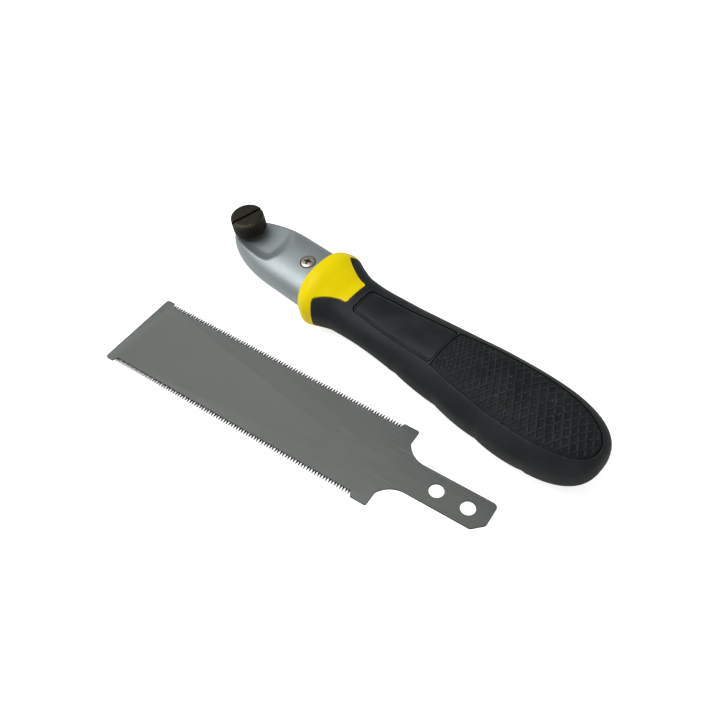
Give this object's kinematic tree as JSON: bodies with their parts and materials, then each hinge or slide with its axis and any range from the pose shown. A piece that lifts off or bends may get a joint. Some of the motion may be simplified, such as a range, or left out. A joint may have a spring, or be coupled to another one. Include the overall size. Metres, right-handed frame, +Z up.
{
  "type": "japanese pull saw",
  "caption": "Small double-edged pull saw taken apart: flat blade lying beside its grip, whose head clamps the tang with a knurled thumb screw.",
  "frame": {"origin": "centre of the box on the bench that the handle and the blade lie on", "axes": "+X along the handle from its nose to its butt, +Z up from the bench; the blade lies on the -Y side"},
  "size_m": [0.1798, 0.0964, 0.0263],
  "materials": {
    "blade_steel": "brushed lengthwise, grey, with bright tooth flanks",
    "silver_paint": "satin silver paint on a die casting",
    "bronzed_steel": "black-bronze oxide, satin",
    "bright_steel": "turned",
    "plate_steel": "stamped, satin",
    "bush_brass": "turned",
    "screw_nickel": "nickel plated",
    "yellow_plastic": "glossy moulded plastic",
    "grip_rubber": "satin charcoal rubber",
    "label_plastic": "moulded, satin",
    "pad_rubber": "moulded with a criss-cross texture"
  },
  "bodies": {
    "handle": {"head_casting": "silver_paint", "handle_core": "yellow_plastic", "grip_overmould": "grip_rubber", "label_plate": "label_plastic", "texture_pad_top": "pad_rubber", "texture_pad_bottom": "pad_rubber", "locating_pin": "bright_steel", "plate_screw": "screw_nickel", "tang_pin_front": "bright_steel", "tang_pin_rear": "bright_steel"},
    "thumb_carriage": {"thumb_washer": "bright_steel"},
    "thumb_knob": {"thumb_screw": "bronzed_steel"},
    "clamp": {"clamp_plate": "plate_steel", "threaded_bush": "bush_brass"},
    "blade": {"blade": "blade_steel"}
  },
  "joints": [
    {"name": "thumb_travel", "type": "slide", "parent": "handle", "child": "thumb_carriage", "axis": [-0.0276, -0.1374, 0.9901], "range_m": [-0.0008, 0.0032]},
    {"name": "thumb_turn", "type": "hinge", "parent": "thumb_carriage", "child": "thumb_knob", "pos_m": [-0.08278, 0.03052, 0.01451], "axis": [-0.0276, -0.1374, 0.9901], "range_deg": [-360, 1440]},
    {"name": "clamp_plate_tilt", "type": "hinge", "parent": "handle", "child": "clamp", "pos_m": [-0.04735, 0.03173, 0.00678], "axis": [-0.0038, 0.9905, 0.1374], "range_deg": [-1.6, 0.45]},
    {"name": "blade_lift", "type": "slide", "parent": "handle", "child": "blade", "axis": [0, 0, 1], "range_m": [0, 0.06]}
  ],
  "couplings": [
    {"joint": "thumb_travel", "follows": "thumb_turn", "m_per_rad": 0.00012732}
  ]
}
